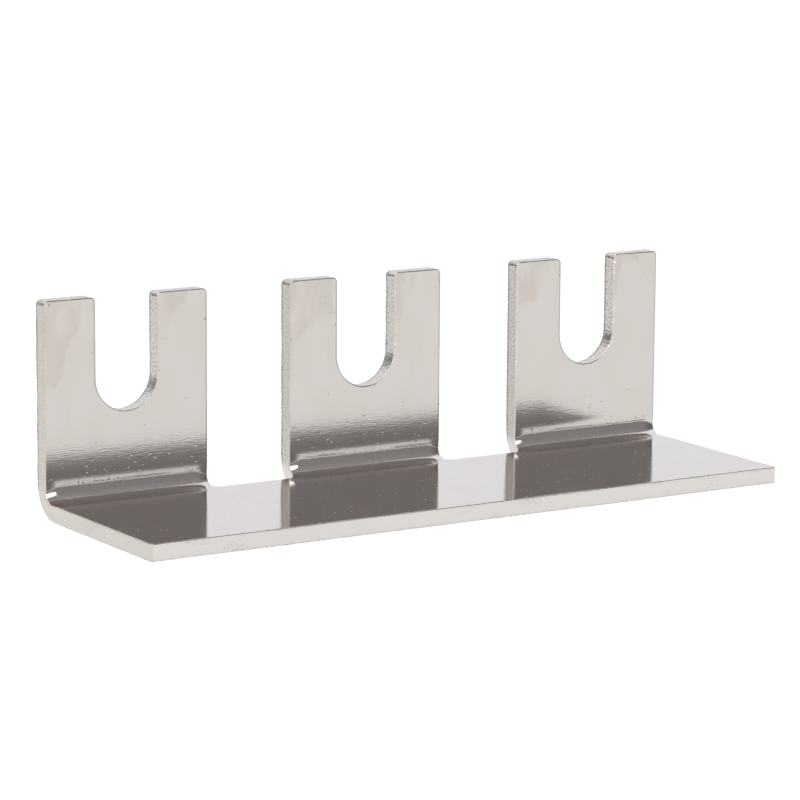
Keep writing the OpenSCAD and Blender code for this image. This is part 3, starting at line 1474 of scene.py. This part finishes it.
@dataclass
class JumperBar:
    """The jumper bar: one folded, plated sheet.

    Attributes:
        comb: main sizes of the bar
        crease: angle past which an edge of the mesh stays sharp
        fold: the fold, worked out from the main sizes
        piece: the bar's object, from build on
    """

    comb: Comb
    crease: float = math.radians(38.0)
    fold: Fold = field(init=False)
    piece: bpy.types.Object = field(init=False)

    def __post_init__(self) -> None:
        """Works out the fold from the main sizes."""
        self.fold = Fold(self.comb)

    def build(self) -> None:
        """Shears the blank."""
        self.piece = Blank(self.comb, self.fold).build()

    def dress(self) -> None:
        """Folds the blank in its finishes, and shades it."""
        plated = PlatedFace(self.comb, self.fold).material()
        sheared = ShearedEdge(self.comb, self.fold.thickness).material()
        FoldTree(self.fold).apply(self.piece, plated, sheared)
        mesh = self.piece.data
        mesh.shade_smooth()
        mesh.set_sharp_from_angle(angle=self.crease)
        mesh.validate()

    def settle(self) -> None:
        """Puts the bar in the place of its CAD node."""
        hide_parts(NODE)
        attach(self.piece, BODY)
        mesh = self.piece.data
        log.info("%s: %d points, %d faces", self.piece.name, len(mesh.vertices), len(mesh.polygons))


@dataclass(frozen=True)
class StudioLight:
    """Light levels round the bar, where 1 is white.

    Spans are the limits of a coordinate of the direction from the bar, of which X is to the right, Y behind
    the bar and Z up.

    Attributes:
        room: the dim room in front of the bar
        room_tint: colour of the room
        horizon: share by which the room is darker near the floor
        horizon_z: span over which that ends
        overhead: share by which the room is lighter overhead
        overhead_z: span over which that begins
        window: the room at the left of the bar
        window_x: span over which that ends
        corner: the room at the right of the bar
        corner_x: span over which that begins
        backdrop_left: the backdrop behind the bar at its left, near the floor
        backdrop_right: the same at its right
        backdrop_x: span between those two
        backdrop_high: the backdrop high up and far to the right
        backdrop_high_z: span over which that begins high up
        backdrop_high_x: span over which that begins at the right
        backdrop_tint: colour of the backdrop
        backdrop_y: span between the room and the backdrop
        lamp: the soft lamp in front
        floor_glow: share of the floor's white that no shadow takes away
        floor_white: lightness of the floor, which the shadow does take away
    """

    room: float = 0.33
    room_tint: Colour = (1.02, 0.99, 1.02)
    horizon: float = 0.72
    horizon_z: Span = (0.0, 0.2)
    overhead: float = 1.15
    overhead_z: Span = (0.6, 0.85)
    window: float = 1.2
    window_x: Span = (-0.4, -0.1)
    corner: float = 0.2
    corner_x: Span = (0.6, 0.9)
    backdrop_left: float = 0.28
    backdrop_right: float = 0.98
    backdrop_x: Span = (-0.5, -0.25)
    backdrop_high: float = 1.15
    backdrop_high_z: Span = (0.3, 0.55)
    backdrop_high_x: Span = (0.6, 0.95)
    backdrop_tint: Colour = (1.01, 1.01, 1.04)
    backdrop_y: Span = (0.0, 0.05)
    lamp: float = 2.2
    floor_glow: float = 0.90
    floor_white: float = 0.2


@dataclass
class Studio:
    """Floor, surroundings, lamp and camera.

    Attributes:
        light: light levels
        floor_size: width of the floor
        lamp_place: middle of the lamp
        lamp_size: width of the lamp
        azimuth: bearing of the camera from the front of the bar, to the right
        elevation: height angle of the camera
        roll: turn of the camera about its own axis
        lens: focal length, in millimetres on a sensor of sensor_w
        sensor_w: width of the sensor, in millimetres
        aim: point in the middle of the picture
        distance: from the camera to that point
        near: distance from the camera at which its view starts
    """

    light: StudioLight = StudioLight()
    floor_size: float = 6.0
    lamp_place: tuple[float, float, float] = (-0.06, -0.48, 0.36)
    lamp_size: float = 0.42
    azimuth: float = math.radians(-32.782)
    elevation: float = math.radians(10.450)
    roll: float = math.radians(0.673)
    lens: float = 164.55
    sensor_w: float = 36.0
    aim: tuple[float, float, float] = (-1.140 * MM, 0.633 * MM, 7.539 * MM)
    distance: float = 272.34 * MM
    near: float = 2.7234 * MM

    def build(self) -> None:
        """Sets up the whole studio."""
        bpy.context.scene.view_settings.view_transform = "Standard"
        self.lay_floor()
        self.surround()
        self.hang_lamp()
        self.place_camera()

    def lay_floor(self) -> None:
        """Lays the pale floor, which keeps a faint shadow of the bar."""
        half = self.floor_size / 2
        corners = [(-half, -half, 0.0), (half, -half, 0.0), (half, half, 0.0), (-half, half, 0.0)]
        mesh = bpy.data.meshes.new("studio_floor")
        mesh.from_pydata(corners, [], [(0, 1, 2, 3)])
        material = bpy.data.materials.new("white_floor")
        wiring = Wiring.fresh(material)
        ray = wiring.add("ShaderNodeLightPath")
        seen = ray["Is Camera Ray"].most(ray["Is Glossy Ray"]).most(ray["Is Transmission Ray"])
        glow = wiring.add("ShaderNodeEmission", {"Strength": seen * self.light.floor_glow})[0]
        matt = wiring.add("ShaderNodeBsdfDiffuse", {"Color": (self.light.floor_white,) * 3})[0]
        both = wiring.add("ShaderNodeAddShader", {0: glow, 1: matt})[0]
        wiring.add("ShaderNodeOutputMaterial", {"Surface": both})
        mesh.materials.append(material)
        floor = put_in_scene(mesh)
        log.info("%s: %.1f m wide", floor.name, self.floor_size)

    def surround(self) -> None:
        """Paints the surroundings: a white backdrop behind the bar and a dim room in front of it."""
        light = self.light
        world = bpy.data.worlds.new("studio")
        bpy.context.scene.world = world
        wiring = Wiring.fresh(world)
        way = wiring.add("ShaderNodeTexCoord")["Generated"].split()
        low = way["X"].ease(*light.backdrop_x, light.backdrop_left, light.backdrop_right)
        high = way["Z"].ease(*light.backdrop_high_z).most(way["X"].ease(*light.backdrop_high_x))
        behind = low * (1.0 - high) + high * light.backdrop_high
        front = way["X"].ease(*light.corner_x, light.room, light.corner)
        front = front * way["Z"].ease(*light.horizon_z, light.horizon, 1.0)
        front = front * way["Z"].ease(*light.overhead_z, 1.0, light.overhead)
        front = front.most(way["X"].ease(*light.window_x, light.window, 0.0))
        sides = []
        for tint, level in ((light.room_tint, front), (light.backdrop_tint, behind)):
            scaled = {0: tint, "Scale": level}
            sides.append(wiring.add("ShaderNodeVectorMath", scaled, operation="SCALE")[0])
        colour = wiring.tint(way["Y"].ease(*light.backdrop_y), *sides)
        background = wiring.add("ShaderNodeBackground", {"Color": colour, "Strength": 1.0})[0]
        wiring.add("ShaderNodeOutputWorld", {"Surface": background})
        log.info("%s: room at %.2f, backdrop at %.2f", world.name, light.room, light.backdrop_right)

    def hang_lamp(self) -> None:
        """Hangs the soft lamp in front of the bar, turned to it."""
        lamp = bpy.data.lights.new("soft_lamp", "AREA")
        lamp.shape = "DISK"
        lamp.size = self.lamp_size
        lamp.energy = self.light.lamp * (math.pi * self.lamp_size / 2) ** 2
        hung = put_in_scene(lamp)
        hung.location = self.lamp_place
        hung.rotation_euler = Vector(self.lamp_place).to_track_quat("Z", "Y").to_euler()
        log.info("%s: %.3f W", hung.name, lamp.energy)

    def place_camera(self) -> None:
        """Places the camera at the photograph's viewing angle."""
        bearing, out = self.azimuth, math.cos(self.elevation)
        back = Vector((math.sin(bearing) * out, -math.cos(bearing) * out, math.sin(self.elevation)))
        right = Vector((math.cos(bearing), math.sin(bearing), 0.0))
        level = Matrix((right, back.cross(right), back)).transposed()
        turned = level @ Matrix.Rotation(self.roll, 3, "Z")
        lens = bpy.data.cameras.new("photo_camera")
        lens.lens = self.lens
        lens.sensor_width = self.sensor_w
        lens.clip_start = self.near
        camera = put_in_scene(lens)
        camera.matrix_world = Matrix.Translation(Vector(self.aim) + back * self.distance) @ turned.to_4x4()
        bpy.context.scene.camera = camera
        log.info("%s: %.1f mm lens", camera.name, self.lens)


def main() -> None:
    """Builds the bar and its studio."""
    logging.basicConfig(level=logging.INFO, format="%(message)s")
    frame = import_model()
    bar = JumperBar(Comb.from_frame(frame["record"]))
    bar.build()
    bar.dress()
    bar.settle()
    Studio().build()


if __name__ == "__main__":
    main()
